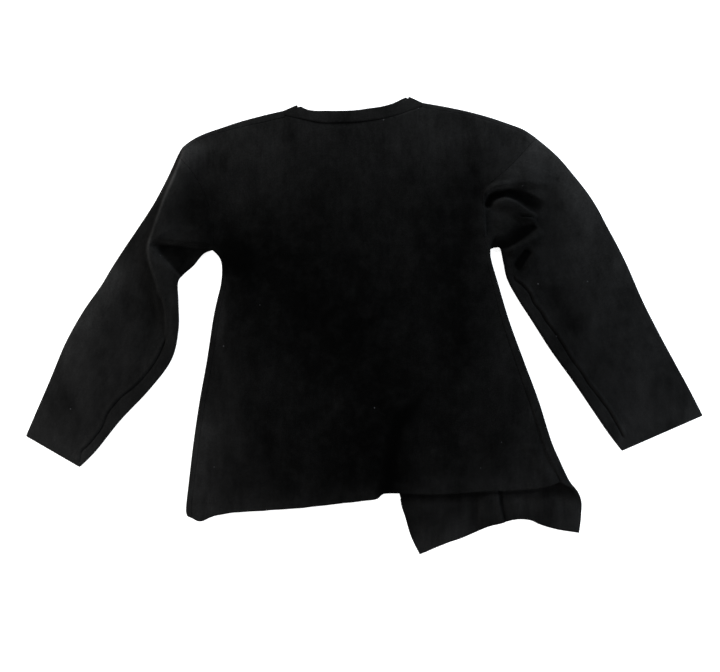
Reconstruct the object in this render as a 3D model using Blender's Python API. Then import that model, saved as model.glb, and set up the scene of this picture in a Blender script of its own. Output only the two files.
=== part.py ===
"""A collarless knit blazer of thick double knit, laid flat on its front with its back up.

Lengths in the tables are millimetres. X runs to the right across the garment, Y from the hem
towards the neck, and Z up from the surface it lies on. The left half here is the wearer's left,
which is at -X because the garment is seen from behind.
"""
import math
from collections import Counter, namedtuple

import bmesh
import bpy

MM = 0.001

CLOTH = 2.5           # thickness of the double knit
SEAM_GAP = 0.3        # between two pieces at a seam
FOLD_RADIUS = 4.2     # plan radius of a folded edge, outside
EDGE_SEAM = 6.2       # nearest that a seam on top comes to a folded edge
BODY_HEIGHT = 8.4     # top of the laid body: two fronts' overlap, the back and the air between
CUFF_HEIGHT = 7.0     # top of a sleeve at its cuff
LOWEST_TOP = 5.7      # no fold presses the top cloth lower than this
OVERLAP_LIFT = 2.8    # how far the left front is lifted where it lies on the right one
LIFT_START = 90.0     # the lift begins this far outside the right front's edge
LIFT_END = 45.0       # and is complete this far outside it

SIDE_ROWS = 20        # mesh rows along a side seam
OPEN_ROWS = 3         # and below the seam, where the right side is open
SIDE_CROWDING = 1.6   # how much the rows crowd towards the underarm
ARM_ROWS = 16         # along an armhole, on top
ARM_STEP = 4          # the layer beneath uses every fourth of them
SHOULDER_COLUMNS = 12 # along a shoulder
SLEEVE_RINGS = 32     # along a sleeve
CURVE_STEPS = 16      # samples for each stretch of a smooth curve
ARMHOLE_FADE = 0.34   # part of a sleeve over which its rings straighten out
EDGE_ANGLES = (-90, -45, 0, 45, 75)   # round a folded edge, from underneath to the top

CHARCOAL = (0.012, 0.012, 0.013, 1.0)

# ---- outlines in plan: x, y ---------------------------------------------------------------

SIDE_LEFT = ((-294, -322), (-297, -306), (-292, -259), (-284, -192), (-274, -125), (-262, -58),
             (-252, 8), (-245, 42), (-239, 67), (-237, 92), (-240, 110), (-252, 125))
SIDE_RIGHT = ((359, -347), (362, -322), (362, -297), (354, -277), (342, -259), (326, -225),
              (312, -192), (291, -125), (266, -58), (242, 8), (222, 75), (214, 102), (209, 125))
ARMHOLE_LEFT = ((-252, 125), (-250, 152), (-254, 184), (-269, 225), (-287, 256), (-311, 282))
ARMHOLE_RIGHT = ((209, 125), (203, 135), (200, 150), (199, 184), (197, 215), (210, 235),
                 (240, 261), (264, 286), (287, 312))
SHOULDER_LEFT = ((-311, 282), (-302, 296), (-286, 309), (-266, 319), (-240, 328), (-207, 339),
                 (-170, 349), (-134.3, 357.3))
SHOULDER_RIGHT = ((287, 312), (266, 326), (237, 337), (207, 347), (169, 357), (130, 365), (97.6, 370.6))
BACK_HEM = ((-240, -316), (-190, -311), (-107, -305), (-40, -298), (17, -291), (28, -285),
            (43, -281), (127, -282), (194, -278), (261, -275), (302, -270))
FRONT_LEFT_HEM = ((-274, -314), (-190, -297), (-107, -286), (-40, -274), (13, -259))
FRONT_RIGHT_HEM = ((94, -381), (127, -366), (169, -351), (205, -337), (227, -331), (244, -325),
                   (261, -323), (279, -325), (294, -332), (327, -341))
FRONT_LEFT_EDGE = ((13, -259), (20, -175), (22, -42), (17, 58), (3, 124))
FRONT_RIGHT_EDGE = ((94, -381), (80, -352), (72, -326), (63, -292), (60, -279), (20, -159),
                    (-18, -42), (-30, 58), (-23, 124))

# How far a side or shoulder seam lies inside the folded edge: part of its length, distance.
SEAM_INSET_LEFT = ((0.0, 10.0), (0.6, 10.0), (0.9, 9.0), (1.0, EDGE_SEAM))
SEAM_INSET_RIGHT = ((0.0, 12.0), (0.2, 15.0), (0.5, 17.0), (0.9, 10.0), (1.0, EDGE_SEAM))
SHOULDER_INSET_LEFT = ((0.0, EDGE_SEAM), (0.4, 7.0), (0.8, 12.0), (1.0, 12.0))
SHOULDER_INSET_RIGHT = ((0.0, EDGE_SEAM), (0.6, 6.5), (1.0, 8.0))

# The right side is open below the back's hem: the lowest part of its length, where the folded
# edge is rolled over by a growing part of the half turn that it has higher up.
RIGHT_OPENING = 0.19
OPENING_ROLLS = (0.0, 0.15, 0.6)

# ---- the sleeves: a row for each section, from armhole to cuff ----------------------------

Section = namedtuple("Section", "inner_x inner_y outer_x outer_y")
SLEEVE_LEFT = (
    Section(-252, 125, -311, 282), Section(-266, 114, -327, 247), Section(-284, 94, -349, 205),
    Section(-302, 78, -372, 169), Section(-309, 65, -399, 129), Section(-307, 37, -421, 95),
    Section(-309, -8, -439, 65), Section(-321, -58, -469, 22), Section(-357, -107, -498, -30),
    Section(-406, -159, -524, -92), Section(-446, -209, -549, -150), Section(-474, -237, -564, -185),
)
SLEEVE_RIGHT = (
    Section(209, 125, 287, 312), Section(215, 128, 322, 282), Section(220, 129, 352, 247),
    Section(227, 127, 374, 219), Section(232, 104, 391, 192), Section(239, 75, 404, 167),
    Section(257, 42, 424, 130), Section(279, 8, 441, 95), Section(311, -42, 464, 42),
    Section(347, -92, 489, -8), Section(381, -142, 518, -62), Section(407, -180, 541, -104),
    Section(428, -207, 564, -149),
)

# ---- the neckband: a row for each section, across the band --------------------------------

Band = namedtuple("Band", "seam_x seam_y edge_x edge_y")
BAND_BACK = (
    Band(-134, 357, -112, 367), Band(-131.8, 348.5, -105, 364), Band(-118, 345.5, -94, 359),
    Band(-97, 341, -80, 357), Band(-70, 336, -63, 357), Band(-40, 336, -40, 357),
    Band(-13, 337, -15, 358), Band(12, 340, 7, 361), Band(35, 344, 28, 364),
    Band(57, 350, 47, 369), Band(77, 357, 62, 376), Band(95, 363, 69, 379), Band(97, 371, 75, 381),
)
BAND_FRONT_LEFT = (
    Band(3, 125, 20, 137), Band(-31, 177, -15, 186), Band(-68, 231, -52, 240),
    Band(-104, 295, -88, 304),
)
BAND_FRONT_RIGHT = (
    Band(65, 302, 48, 309), Band(34, 238, 17, 246), Band(2, 179, -14, 187),
    Band(-23, 125, -42, 137),
)

# ---- folds: a row for each, along its crest or its bottom ---------------------------------
# height is negative in a trough; left and right are its widths to each side of the points'
# direction, and fade is the part of its length over which each end dies away.

Fold = namedtuple("Fold", "name points height left right fade")
TOP_FOLDS = (
    Fold("right armpit upper ridge",
         ((200, 214), (207, 232), (227, 240), (261, 245), (327, 249)), 10.0, 34, 12, 0.25),
    Fold("right armpit hollow", ((210, 197), (227, 220), (261, 225), (289, 209)), -3.0, 12, 12, 0.2),
    Fold("right armpit tongue", ((196, 172), (235, 186), (269, 181), (292, 176)), 11.0, 17, 17, 0.12),
    Fold("right armpit lower ridge",
         ((222, 122), (244, 132), (264, 140), (286, 152), (296, 169)), 7.0, 10, 11, 0.2),
    Fold("right armpit groove", ((214, 137), (235, 149), (264, 162), (287, 172)), -3.0, 8, 8, 0.2),
    Fold("right armpit pocket", ((279, 132), (264, 105), (250, 82)), -2.5, 12, 12, 0.3),
    Fold("right armhole fold", ((200, 228), (199, 184), (201, 140)), 6.0, 8, 48, 0.3),
    Fold("right elbow dent", ((327, 45), (357, -22)), -1.8, 20, 20, 0.4),
    Fold("right sleeve crown dent", ((302, 245), (314, 200)), -2.0, 14, 14, 0.4),
    Fold("left sleeve overlap",
         ((-302, 271), (-321, 234), (-332, 209), (-344, 179), (-356, 145), (-359, 125),
          (-354, 95), (-344, 70), (-336, 47), (-329, 17), (-329, -17)), 9.0, 48, 13, 0.1),
    Fold("left underarm seam roll",
         ((-329, -10), (-344, -55), (-374, -95), (-419, -137), (-448, -187), (-474, -230)),
         2.0, 9, 9, 0.05),
    Fold("left sleeve cross ridge", ((-346, 145), (-291, 144), (-232, 134)), 4.0, 20, 9, 0.15),
    Fold("left armpit hollow", ((-341, 129), (-321, 105), (-301, 84)), -6.0, 13, 13, 0.2),
    Fold("left elbow dent", ((-368, 95), (-355, 42), (-350, -17)), -2.0, 16, 16, 0.3),
    Fold("trough above the front opening",
         ((40, -300), (45, -242), (55, -175), (80, -134), (114, -89)), -2.6, 24, 24, 0.0),
    Fold("left body swell", ((-190, 42), (-207, -292)), 1.2, 70, 60, 0.3),
    Fold("middle body dip", ((-107, 125), (-57, -259)), -0.5, 55, 55, 0.3),
    Fold("right body swell", ((177, 42), (244, -242)), 1.4, 55, 50, 0.3),
    Fold("upper back swell", ((-160, 250), (150, 270)), 1.0, 60, 60, 0.3),
    Fold("right hem lift", ((262, -275), (330, -268)), 3.0, 30, 30, 0.3),
    Fold("right hem wrinkle", ((264, -204), (300, -202)), 1.5, 10, 10, 0.4),
)
FLAP_FOLDS = (
    Fold("flap soft fold", ((190, -262), (189, -339)), 3.2, 24, 8, 0.3),
    Fold("flap sharp fold", ((222, -262), (232, -301), (236, -331)), 3.6, 7, 26, 0.3),
    Fold("flap side swell", ((300, -285), (330, -335)), 2.6, 24, 26, 0.4),
)


# ---- plane geometry -------------------------------------------------------------------------

def between(a, b, part):
    return tuple(p + (q - p) * part for p, q in zip(a, b))


def distance(a, b):
    return math.hypot(b[0] - a[0], b[1] - a[1])


def unit(a, b):
    size = distance(a, b)
    return ((b[0] - a[0]) / size, (b[1] - a[1]) / size)


def moved(point, direction, amount):
    return (point[0] + direction[0] * amount, point[1] + direction[1] * amount)


def smoothstep(part):
    part = min(1.0, max(0.0, part))
    return part * part * (3 - 2 * part)


def table_value(table, part):
    """Read a table of (part, value) rows by straight interpolation."""
    for (start, low), (end, high) in zip(table, table[1:]):
        if part <= end:
            return low + (high - low) * (part - start) / (end - start)
    return table[-1][1]


def smooth_points(points, steps=CURVE_STEPS):
    """A Catmull-Rom curve through rows of numbers, with so many steps for each stretch."""
    ends = [points[0], *points, points[-1]]
    curve = [tuple(points[0])]
    for before, start, end, after in zip(ends, ends[1:], ends[2:], ends[3:]):
        for step in range(1, steps + 1):
            t = step / steps
            curve.append(tuple(
                0.5 * (2 * s + (e - b) * t + (2 * b - 5 * s + 4 * e - a) * t ** 2
                       + (3 * s - b - 3 * e + a) * t ** 3)
                for b, s, e, a in zip(before, start, end, after)))
    return curve


def lengths(path):
    total = [0.0]
    for a, b in zip(path, path[1:]):
        total.append(total[-1] + distance(a, b))
    return total


def along(path, parts):
    """Points of a path at the given parts of its length."""
    run = lengths(path)
    found = []
    for part in parts:
        goal = min(max(part, 0.0), 1.0) * run[-1]
        index = next((i for i in range(1, len(run)) if run[i] >= goal), len(run) - 1)
        step = run[index] - run[index - 1]
        found.append(between(path[index - 1], path[index], (goal - run[index - 1]) / step))
    return found


def even_parts(count):
    return [i / count for i in range(count + 1)]


def own_parts(path):
    run = lengths(path)
    return [value / run[-1] for value in run]


def right_hand_normals(path):
    """Unit normals to the right of a path's direction."""
    normals = []
    for i in range(len(path)):
        ahead = unit(path[max(i - 1, 0)], path[min(i + 1, len(path) - 1)])
        normals.append((ahead[1], -ahead[0]))
    return normals


def shifted(path, amount):
    """A path moved to its right by the amount, or to its left where that is negative."""
    return [moved(p, n, amount) for p, n in zip(path, right_hand_normals(path))]


def coons(bottom, top, left, right):
    """Rows of plan points that fill four boundary curves."""
    across, up = own_parts(bottom), own_parts(left)
    rows = []
    for j, start in enumerate(left):
        row = []
        for i, low in enumerate(bottom):
            u, v = across[i], up[j]
            ruled_up = between(low, top[i], v)
            ruled_across = between(start, right[j], u)
            flat = between(between(bottom[0], bottom[-1], u), between(top[0], top[-1], u), v)
            row.append((ruled_up[0] + ruled_across[0] - flat[0],
                        ruled_up[1] + ruled_across[1] - flat[1]))
        rows.append(row)
    return rows


# ---- heights ----------------------------------------------------------------------------------

def fold_height(fold, x, y):
    """The height that one fold adds at a place."""
    run = lengths(fold.points)
    best = None
    for index, (a, b) in enumerate(zip(fold.points, fold.points[1:])):
        step = run[index + 1] - run[index]
        ahead = unit(a, b)
        reach = (x - a[0]) * ahead[0] + (y - a[1]) * ahead[1]
        reach = min(max(reach, 0.0), step)
        near = moved(a, ahead, reach)
        away = distance(near, (x, y))
        if best is None or away < best[0]:
            side = ahead[0] * (y - near[1]) - ahead[1] * (x - near[0])
            best = (away, side, (run[index] + reach) / run[-1])
    away, side, part = best
    across = away / (fold.left if side > 0 else fold.right)
    if across >= 1.0:
        return 0.0
    ends = 1.0
    if fold.fade:
        ends = smoothstep(part / fold.fade) * smoothstep((1 - part) / fold.fade)
    return fold.height * (1 - across ** 2) ** 2 * ends


def folds_at(folds, x, y):
    return sum(fold_height(fold, x, y) for fold in folds)


def top_height(x, y, level=BODY_HEIGHT):
    """The upper face of the topmost cloth."""
    return max(level + folds_at(TOP_FOLDS, x, y), LOWEST_TOP)


def top_underside(x, y, level=BODY_HEIGHT):
    """Its lower face, which stays at the level where folded layers are heaped above it."""
    return min(level, top_height(x, y, level)) - CLOTH


def right_edge_x(y):
    """The free edge of the right front and its band at a given height up the body."""
    rows = [(p[1], p[0]) for p in FRONT_RIGHT_EDGE]
    rows += [(band.edge_y, band.edge_x) for band in reversed(BAND_FRONT_RIGHT)]
    return table_value(rows, max(y, rows[0][0]))


def front_lift(x, y):
    """How far the left front is lifted to lie on the right one."""
    outside = right_edge_x(y) - x
    return OVERLAP_LIFT * smoothstep((LIFT_START - outside) / (LIFT_START - LIFT_END))


# ---- solids -----------------------------------------------------------------------------------

class Wall:
    """Cloth as a closed wall: each point has a place on its outer and on its inner face."""

    def __init__(self):
        self.outer = []
        self.inner = []
        self.quads = []

    def point(self, outer, inner):
        self.outer.append(outer)
        self.inner.append(inner)
        return len(self.outer) - 1

    def grid(self, rows, closed=False):
        """Quads between rows of point numbers, seen with the outer face up."""
        for low, high in zip(rows, rows[1:]):
            wrap = len(low) if closed else len(low) - 1
            for i in range(wrap):
                k = (i + 1) % len(low)
                self.quads.append((low[i], low[k], high[k], high[i]))

    def build(self, name, material):
        count = len(self.outer)
        mesh = bmesh.new()
        for place in self.outer + self.inner:
            mesh.verts.new([value * MM for value in place])
        mesh.verts.ensure_lookup_table()
        edges = Counter()
        for quad in self.quads:
            mesh.faces.new([mesh.verts[i] for i in quad])
            mesh.faces.new([mesh.verts[i + count] for i in reversed(quad)])
            edges.update(zip(quad, quad[1:] + quad[:1]))
        for a, b in edges:
            if (b, a) not in edges:
                mesh.faces.new([mesh.verts[i] for i in (b, a, a + count, b + count)])
        bmesh.ops.recalc_face_normals(mesh, faces=mesh.faces[:])
        bmesh.ops.triangulate(mesh, faces=mesh.faces[:])
        data = bpy.data.meshes.new(name)
        mesh.to_mesh(data)
        mesh.free()
        data.materials.append(material)
        data.shade_smooth()
        data.set_sharp_from_angle(angle=math.radians(50))
        piece = bpy.data.objects.new(name, data)
        bpy.context.scene.collection.objects.link(piece)
        return piece


def edge_profile(height, roll=1.0, flat=0.0):
    """The section round a folded edge, as (outer, inner) pairs of (outward, z).

    It starts underneath, one radius inside the edge. A part roll leaves it half open, and no
    roll leaves it flat. The straight stretch that ends it runs on from the roll.
    """
    half = height / 2
    reach = flat * roll + FOLD_RADIUS * (1 - roll)
    spread = FOLD_RADIUS * (1 - roll) / len(EDGE_ANGLES)
    profile = []
    for step, degrees in enumerate((*EDGE_ANGLES, 90)):
        turn = math.radians(-90 + (degrees + 90) * roll)
        pair = []
        for radius, rise in ((FOLD_RADIUS, half), (FOLD_RADIUS - CLOTH, half - CLOTH)):
            outward = radius * math.cos(turn)
            z = half + rise * math.sin(turn)
            if degrees == 90:
                outward -= math.sin(turn) * reach
                z += math.cos(turn) * reach
            else:
                outward = outward * roll + spread * step
            pair.append((outward, z))
        profile.append(tuple(pair))
    return profile


def armhole_points(armhole, rows, shift):
    """Points of an armhole between its two folded edges, moved to the path's right."""
    path = shifted(smooth_points(armhole), shift)
    size = lengths(path)[-1]
    first = EDGE_SEAM + SEAM_GAP
    return along(path, [(first + (size - 2 * first) * part) / size for part in even_parts(rows)])


class Half:
    """The border of one half of the body: its side, armhole and shoulder."""

    def __init__(self, sign, side, armhole, shoulder, side_inset, shoulder_inset, opening):
        self.sign = sign
        hole = shifted(smooth_points(armhole), sign * SEAM_GAP)
        size = lengths(hole)[-1]
        low, high = along(hole, (FOLD_RADIUS / size, 1 - FOLD_RADIUS / size))
        self.arm_top = armhole_points(armhole, ARM_ROWS, sign * SEAM_GAP)
        self.arm_bottom = self.arm_top[::ARM_STEP]

        inside = shifted(smooth_points(side), sign * FOLD_RADIUS)
        self.open_rows = OPEN_ROWS if opening else 0
        parts = [opening * row / OPEN_ROWS for row in range(self.open_rows)]
        parts += [1 - (1 - opening) * (1 - part) ** SIDE_CROWDING for part in even_parts(SIDE_ROWS)]
        self.side = along(inside[:-CURVE_STEPS // 2] + [low], parts)
        self.side_out = [(-n[0] * sign, -n[1] * sign) for n in right_hand_normals(self.side)]
        self.side_out[-1] = unit(low, hole[0])
        self.side_inset = [table_value(side_inset, part) for part in parts]
        self.roll = [*OPENING_ROLLS[:self.open_rows], *[1.0] * (SIDE_ROWS + 1)]

        inside = shifted(smooth_points(shoulder), sign * FOLD_RADIUS)
        parts = even_parts(SHOULDER_COLUMNS)
        self.shoulder = along([high] + inside[CURVE_STEPS // 2:], parts)
        self.shoulder_out = [(-n[0] * sign, -n[1] * sign) for n in right_hand_normals(self.shoulder)]
        self.shoulder_out[0] = unit(high, hole[-1])
        self.shoulder_inset = [table_value(shoulder_inset, part) for part in parts]

    def seam(self, places, outs, insets):
        """Where the back ends, just inside the seam on top."""
        return [moved(p, out, -(inset - FOLD_RADIUS + SEAM_GAP))
                for p, out, inset in zip(places, outs, insets)]

    def side_seam(self):
        return self.seam(self.side, self.side_out, self.side_inset)[self.open_rows:]

    def shoulder_seam(self):
        return self.seam(self.shoulder, self.shoulder_out, self.shoulder_inset)


def folded_strip(wall, base, places, outs, insets, rolls, sign):
    """Turn a front's edge up and over on to the back, as far as its seam."""
    rows = []
    for number, place, out, inset, roll in zip(base, places, outs, insets, rolls):
        crown = moved(place, out, -(inset - FOLD_RADIUS))
        row = [number]
        profile = edge_profile(top_height(*place), roll, inset - FOLD_RADIUS)
        for k, (outer, inner) in enumerate(profile[1:]):
            spots = [(*moved(place, out, spot[0]), spot[1]) for spot in (outer, inner)]
            if k == len(profile) - 2 and roll == 1.0:
                spots = [(*crown, top_height(*crown)), (*crown, top_underside(*crown))]
            row.append(wall.point(*spots))
        rows.append(row if sign > 0 else row[::-1])
    wall.grid(rows)


def make_front(name, material, half, edge, hem, band, lift, folds):
    """One front: the panel underneath, with its side and shoulder edges turned over."""
    hem_path = smooth_points(hem)[::half.sign]
    bottom = along([half.side[0], *hem_path], even_parts(SHOULDER_COLUMNS))
    border = half.side + half.arm_bottom[1:-1] + [half.shoulder[0]]
    free_edge = along(smooth_points(edge), own_parts(half.side))
    neckline = shifted([(row.seam_x, row.seam_y) for row in band], -half.sign * SEAM_GAP)
    opposite = [bottom[-1]] + free_edge[1:-1] + neckline + [half.shoulder[-1]]
    plan = coons(bottom, half.shoulder, border, opposite)
    wall = Wall()
    numbers = []
    for row in plan:
        line = []
        for x, y in row:
            low = lift(x, y)
            line.append(wall.point((x, y, low), (x, y, low + CLOTH + folds_at(folds, x, y))))
        numbers.append(line if half.sign > 0 else line[::-1])
    wall.grid(numbers)
    side_numbers = [line[0] if half.sign > 0 else line[-1] for line in numbers[:len(half.side)]]
    folded_strip(wall, side_numbers, half.side, half.side_out, half.side_inset, half.roll,
                 -half.sign)
    top_numbers = numbers[-1] if half.sign > 0 else numbers[-1][::-1]
    folded_strip(wall, top_numbers, half.shoulder, half.shoulder_out, half.shoulder_inset,
                 [1.0] * len(top_numbers), -half.sign)
    return wall.build(name, material)


def make_back(material, left, right):
    """The back, the topmost cloth, between its seams and above its hem."""
    left_side, right_side = left.side_seam(), right.side_seam()
    hem = smooth_points([left_side[0], *BACK_HEM, right_side[0]])
    left_border = left_side[:-1] + left.arm_top[:-1] + [left.shoulder_seam()[0]]
    right_border = right_side[:-1] + right.arm_top[:-1] + [right.shoulder_seam()[0]]
    neck = [(row.seam_x, row.seam_y) for row in BAND_BACK[1:-1]]
    neck = shifted(neck, SEAM_GAP)
    top = left.shoulder_seam() + neck[1:-1] + right.shoulder_seam()[::-1]
    bottom = along(hem, own_parts(top))
    plan = coons(bottom, top, left_border, right_border)
    wall = Wall()
    wall.grid([[wall.point((x, y, top_height(x, y)), (x, y, top_underside(x, y)))
                for x, y in row] for row in plan])
    return wall.build("back", material)


def make_sleeve(name, material, sign, armhole, table):
    """One sleeve: a flattened tube whose first ring follows the armhole seam."""
    sections = smooth_points(table)
    seam = smooth_points(armhole)
    seam_size = lengths(seam)[-1]
    wall = Wall()
    rings = []
    for part in even_parts(SLEEVE_RINGS):
        inner_x, inner_y, outer_x, outer_y = sections[round(part * (len(sections) - 1))]
        start, end = (inner_x, inner_y), (outer_x, outer_y)
        width = seam_size + (distance(start, end) - seam_size) * smoothstep(part / ARMHOLE_FADE)
        bow = 1 - smoothstep(part / ARMHOLE_FADE)
        level = BODY_HEIGHT + (CUFF_HEIGHT - BODY_HEIGHT) * part

        def plan(reach):
            straight = between(start, end, reach)
            shape = along(seam, (reach,))[0]
            chord = between(seam[0], seam[-1], reach)
            return (straight[0] + (shape[0] - chord[0]) * bow,
                    straight[1] + (shape[1] - chord[1]) * bow)

        first = (EDGE_SEAM + SEAM_GAP) / width
        across = [first + (1 - 2 * first) * step for step in even_parts(ARM_ROWS)]
        top = []
        for reach in across:
            x, y = plan(reach)
            top.append(((x, y, top_height(x, y, level)), (x, y, top_underside(x, y, level))))
        bottom = []
        for reach in across[ARM_STEP:-1:ARM_STEP]:
            x, y = plan(reach)
            bottom.append(((x, y, 0.0), (x, y, CLOTH)))

        def edge(near):
            spots = []
            inset = FOLD_RADIUS / width
            height = top_height(*plan(inset if near else 1 - inset), level)
            for outer, inner in edge_profile(height)[:-1]:
                pair = []
                for outward, z in (outer, inner):
                    reach = inset - outward / width
                    pair.append((*plan(reach if near else 1 - reach), z))
                spots.append(tuple(pair))
            return spots

        loop = edge(True) + top + edge(False)[::-1] + bottom[::-1]
        numbers = [wall.point(*spots) for spots in loop]
        rings.append(numbers if sign > 0 else numbers[::-1])
    wall.grid(rings, closed=True)
    return wall.build(name, material)


def make_neckband(material):
    """The band: up one front's neckline, over the shoulder, round the back and down again."""
    across = even_parts(2)
    wall = Wall()
    rows = []

    def section(row, outer_z, inner_z):
        seam, edge = (row.seam_x, row.seam_y), (row.edge_x, row.edge_y)
        spots = [between(seam, edge, part) for part in across]
        return [wall.point((x, y, outer_z(x, y)), (x, y, inner_z(x, y))) for x, y in spots]

    def turn(row, outward, rising):
        """Fold the band round the shoulder's folded edge."""
        seam, edge = (row.seam_x, row.seam_y), (row.edge_x, row.edge_y)
        angles = EDGE_ANGLES if rising else EDGE_ANGLES[::-1]
        for degrees in angles:
            angle = math.radians(degrees)
            half = BODY_HEIGHT / 2
            line = []
            for part in across:
                place = moved(between(seam, edge, part), outward, -FOLD_RADIUS)
                spots = []
                for radius, rise in ((FOLD_RADIUS, half), (FOLD_RADIUS - CLOTH, half - CLOTH)):
                    spots.append((*moved(place, outward, radius * math.cos(angle)),
                                  half + rise * math.sin(angle)))
                line.append(wall.point(*spots))
            rows.append(line)

    for row in BAND_FRONT_LEFT:
        rows.append(section(row, front_lift, lambda x, y: front_lift(x, y) + CLOTH))
    first, last = BAND_BACK[0], BAND_BACK[-1]
    ahead = unit((first.seam_x, first.seam_y), (first.edge_x, first.edge_y))
    turn(first, (-ahead[1], ahead[0]), True)
    for row in BAND_BACK[1:-1]:
        rows.append(section(row, top_height, top_underside))
    ahead = unit((last.seam_x, last.seam_y), (last.edge_x, last.edge_y))
    turn(last, (ahead[1], -ahead[0]), False)
    for row in BAND_FRONT_RIGHT:
        rows.append(section(row, lambda x, y: 0.0, lambda x, y: CLOTH))
    wall.grid(rows)
    return wall.build("neckband", material)


def cloth_material():
    """Near-black felted double knit."""
    material = bpy.data.materials.new("black_knit")
    material.use_nodes = True
    shader = material.node_tree.nodes["Principled BSDF"]
    shader.inputs["Base Color"].default_value = CHARCOAL
    shader.inputs["Roughness"].default_value = 0.95
    shader.inputs["Metallic"].default_value = 0.0
    shader.inputs["Sheen Weight"].default_value = 0.4
    return material


def main():
    for item in list(bpy.data.objects):
        bpy.data.objects.remove(item, do_unlink=True)
    material = cloth_material()
    left = Half(1, SIDE_LEFT, ARMHOLE_LEFT, SHOULDER_LEFT, SEAM_INSET_LEFT, SHOULDER_INSET_LEFT,
                0.0)
    right = Half(-1, SIDE_RIGHT, ARMHOLE_RIGHT, SHOULDER_RIGHT, SEAM_INSET_RIGHT,
                 SHOULDER_INSET_RIGHT, RIGHT_OPENING)
    make_back(material, left, right)
    make_front("front_left", material, left, FRONT_LEFT_EDGE, FRONT_LEFT_HEM, BAND_FRONT_LEFT,
               front_lift, ())
    make_front("front_right", material, right, FRONT_RIGHT_EDGE, FRONT_RIGHT_HEM,
               BAND_FRONT_RIGHT[::-1], lambda x, y: 0.0, FLAP_FOLDS)
    make_sleeve("sleeve_left", material, 1, ARMHOLE_LEFT, SLEEVE_LEFT)
    make_sleeve("sleeve_right", material, -1, ARMHOLE_RIGHT, SLEEVE_RIGHT)
    make_neckband(material)


main()
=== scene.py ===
"""The looks of a collarless knit blazer that lies flat on its front, with its back up.

Lengths in the tables are millimetres, in the frame's own axes: X to the right, Y from the hem to
the neck, Z up. Each piece of cloth is a fine wall in the place of its solid.
"""
import math
from collections import namedtuple

import bpy
import numpy as np
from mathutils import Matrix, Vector


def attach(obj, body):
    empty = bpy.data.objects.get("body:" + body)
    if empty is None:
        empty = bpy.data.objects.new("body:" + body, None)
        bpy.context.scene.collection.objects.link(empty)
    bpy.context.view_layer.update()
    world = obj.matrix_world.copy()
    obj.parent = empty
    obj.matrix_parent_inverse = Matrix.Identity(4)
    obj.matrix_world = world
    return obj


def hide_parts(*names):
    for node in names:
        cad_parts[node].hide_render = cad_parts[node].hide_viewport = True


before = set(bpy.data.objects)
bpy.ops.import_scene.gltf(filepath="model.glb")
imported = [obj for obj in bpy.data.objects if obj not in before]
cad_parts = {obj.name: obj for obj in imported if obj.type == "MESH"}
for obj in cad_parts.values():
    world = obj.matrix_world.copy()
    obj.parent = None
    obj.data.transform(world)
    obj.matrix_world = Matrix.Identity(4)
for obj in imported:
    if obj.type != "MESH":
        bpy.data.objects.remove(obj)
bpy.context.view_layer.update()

MM = 0.001

# ---- the cloth and how it lies ----

CLOTH = 2.5  # thickness of the double knit
FOLD_RADIUS = 4.2  # plan radius of a folded edge, outside
EDGE_SEAM = 6.2  # nearest that a seam on top comes to a folded edge
BODY_HEIGHT = 8.4  # top of the laid body
CUFF_HEIGHT = 7.0  # top of a sleeve at its cuff
LOWEST_TOP = 5.5  # no fold presses the top cloth lower than this
HELD_UP_TURN = 0.45  # how soon it turns into that level
OVERLAP_LIFT = 2.8  # how far the left front is lifted where it lies on the right one
LAYER_GAP = 0.15  # least room between a front and the back that lies on it
HEM_CLEARANCE = (2.0, 16.0)  # the back stops pressing on a front this far past its hem
LIFT_START = 90.0  # that front starts to rise this far outside the right one's free edge
LIFT_END = 45.0  # and is up by this far outside it

BODY_STEP = 3.2  # mesh steps of the body and its flap
FLAP_STEP = 2.5
FRONT_COLUMN = 1.5  # across a front, at its shoulder
SLEEVE_COLUMN = 1.7  # across a sleeve
SLEEVE_ROWS = ((210.0, 1.8), (0.0, 3.4))  # along it: near the armhole, then the rest
BAND_STEP = 1.6
BAND_WIDTH = 22.0  # of the neckband's cut
UNDER_SKIP = 4  # a sleeve's underside has one column for so many of its top
FIRST_ROWS = (0.35, 1.0, 2.2)  # the first rows beside a cut edge, at these distances
CUT_DROPS = (1.0, 0.38, 0.05)  # how far a cut edge is rounded there
NECK_DROPS = (1.0, 0.9, 0.6, 0.2)  # and the edges that a seam pulls down
ARM_DROPS = (0.6, 0.25, 0.05)
SIDE_DROPS = (0.3, 0.08, 0.0)
SHOULDER_DROPS = (0.3, 0.1, 0.0)
MOST_DROP = 0.4  # and all of them no further than this part of the wall
# Painted shade and highlight: the colour is darkened where the cloth lies low, in hollows, creases and
# seams, and lightened on ridges.
CREASE_REACH = 13.0  # a crease is what lies lower than the cloth this far away
CREASE_SIDES = 8
CREASE_ROUND = 0.16  # how much that counts against being below the flat cloth
CREASE_LEAST = 0.5  # and how little below it doesn't count
SEAM_PAINTED_SHADE = 2.4  # how much a seam's depth counts
CREASE_PAINTED_LIGHT = ((-1.0, 1.3), (0.0, 1.0), (1.0, 0.74), (2.0, 0.5), (4.0, 0.22), (6.0, 0.1))
EDGE_TURNS = 10  # steps round a folded edge
STRIP_STEPS = 4  # and from there to the seam
OPEN_SPREAD = 0.6  # part of a half open edge's reach that its turn takes
STRIP_PLACE = 1000  # where these strips start in the cloth's own coordinates
CURVE_STEPS = 40  # between two points of an outline
FOLD_STEPS = 8  # of a fold
BAND_STEPS = 12  # of the neckband
LAST_ROWS = (8, 14)  # the rows below an armhole, and how many take their place
ARMHOLE_FADE = 0.34  # part of a sleeve over which its rings straighten
UNEVENNESS = ((95.0, 0.45), (38.0, 0.25), (15.0, 0.10))  # size and height of soft bumps
EDGE_WAVES = ((42.0, 0.7), (17.0, 0.45))  # and of a cut edge's waves
WAVE_FADE = 15.0  # length over which a wavy edge's ends are straight
NOISE_CELLS = 64
BUMP_SEED, HEM_SEED, EDGE_SEED, BACK_HEM_SEED = 7, 31, 37, 41

# ---- outlines in plan: x, y ----

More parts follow.
